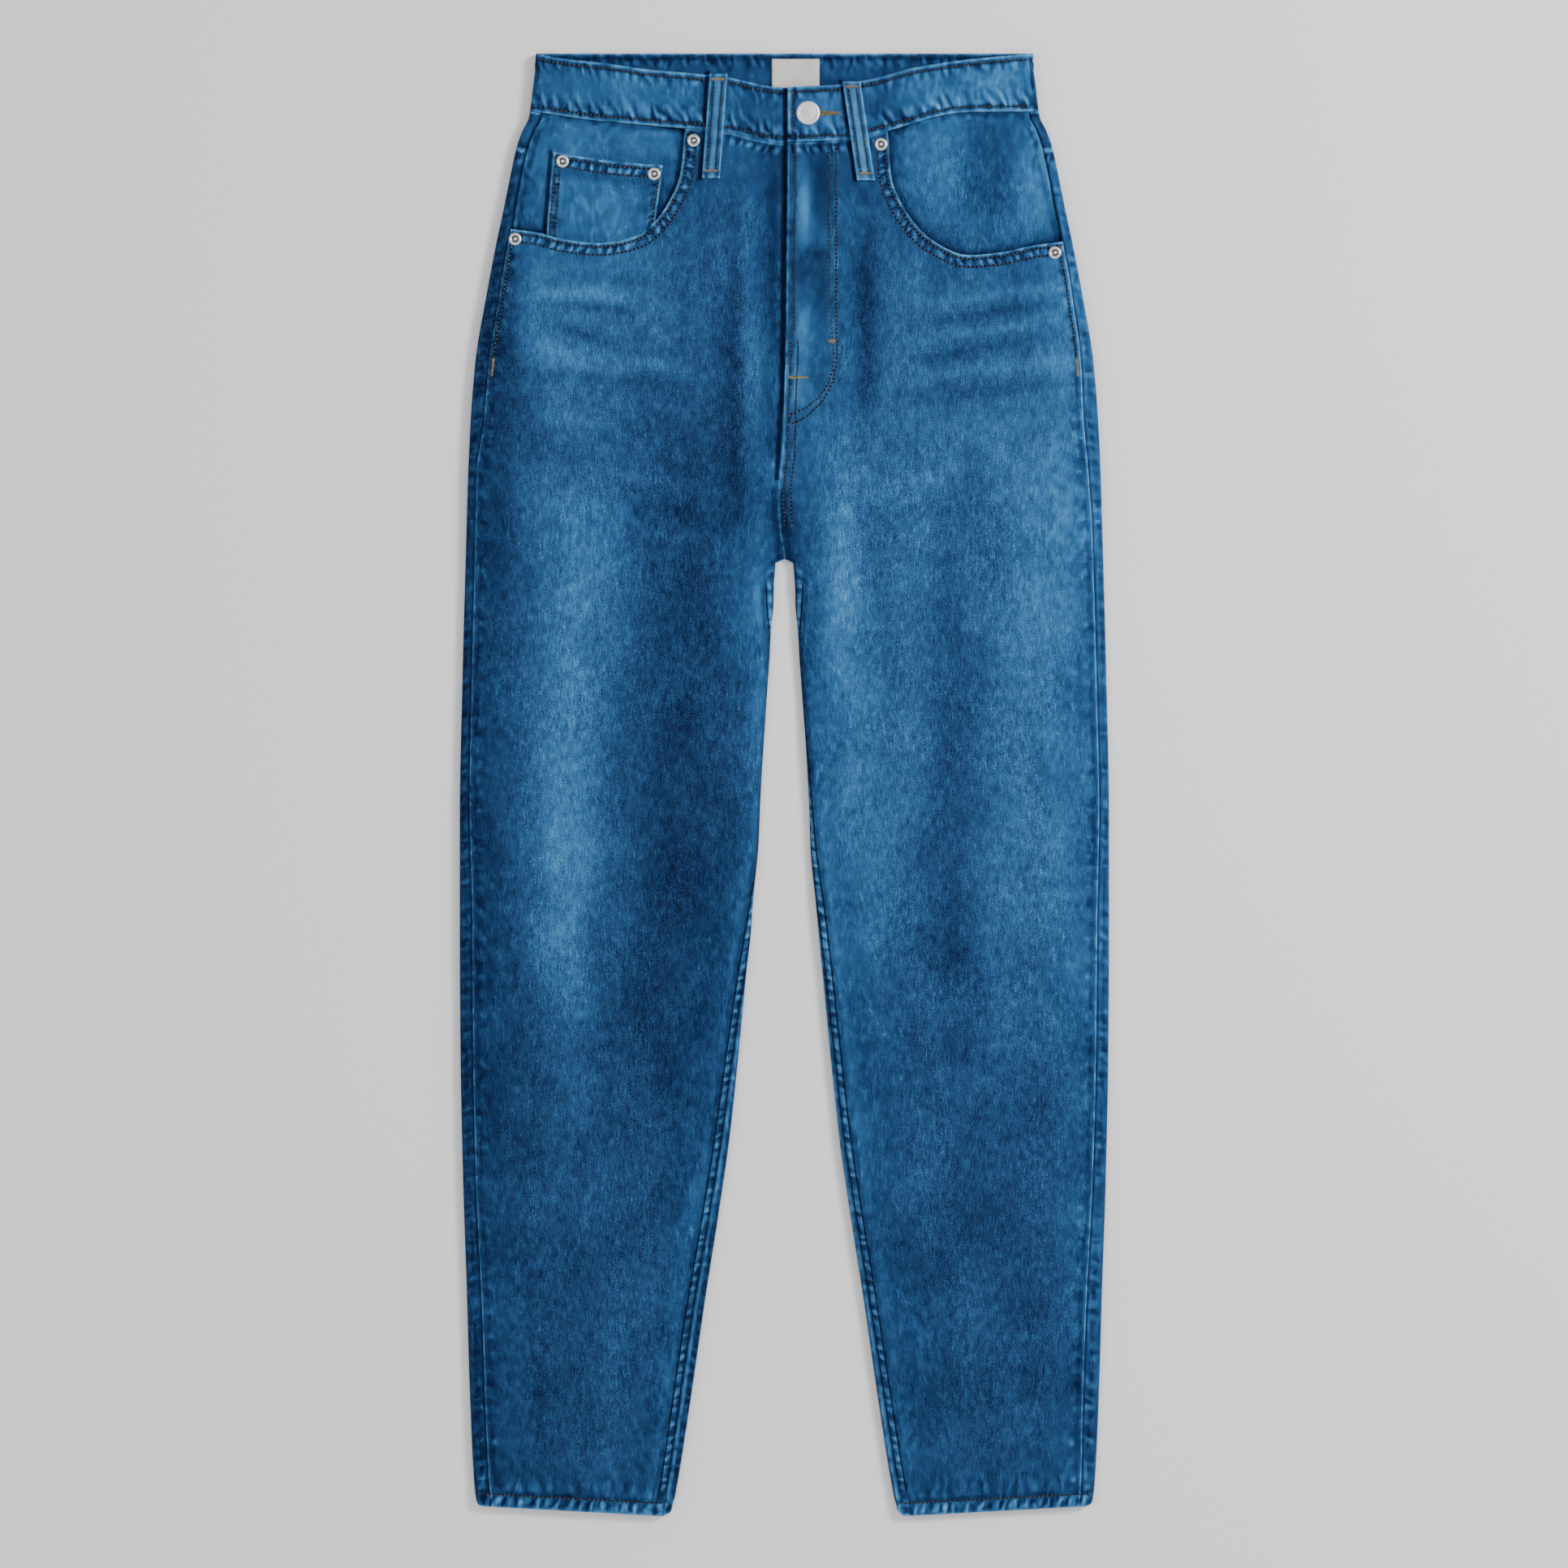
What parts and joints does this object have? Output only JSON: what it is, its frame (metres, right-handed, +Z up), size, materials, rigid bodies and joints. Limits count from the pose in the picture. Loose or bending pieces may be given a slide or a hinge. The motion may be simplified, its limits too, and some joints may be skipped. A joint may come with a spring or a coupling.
{
  "type": "mom jeans",
  "caption": "High-waisted tapered denim jeans laid flat, front up, with fly, tack button, scoop pockets, coin pocket, belt loops and back patch pockets.",
  "frame": {"origin": "Middle of the footprint, on the plane the jeans lie on.", "axes": "+Z up out of the front of the jeans, +Y along the legs towards the waist, +X towards the wearer's left leg."},
  "size_m": [0.4664, 1.05, 0.0124],
  "materials": {
    "denim": "washed mid-blue denim, matte",
    "denim_back": "washed mid-blue denim, matte",
    "zip_tape": "dark woven tape",
    "woven_label": "smooth woven label, left blank",
    "metal": "worn pale nickel"
  },
  "bodies": {
    "root": {"front_right": "denim", "front_left": "denim", "back_right": "denim_back", "back_left": "denim_back", "yoke_right": "denim_back", "yoke_left": "denim_back", "waistband": "denim", "pocket_facing_right": "denim", "pocket_facing_left": "denim", "coin_pocket": "denim", "back_pocket_right": "denim_back", "back_pocket_left": "denim_back", "belt_loop_front_right": "denim", "belt_loop_front_left": "denim", "belt_loop_back_right": "denim_back", "belt_loop_back_centre": "denim_back", "belt_loop_back_left": "denim_back", "fly_zip": "zip_tape", "woven_label": "woven_label", "tack_button": "metal", "rivet_right_waist": "metal", "rivet_right_side": "metal", "rivet_left_waist": "metal", "rivet_left_side": "metal", "rivet_coin_side": "metal", "rivet_coin_centre": "metal"}
  },
  "joints": []
}
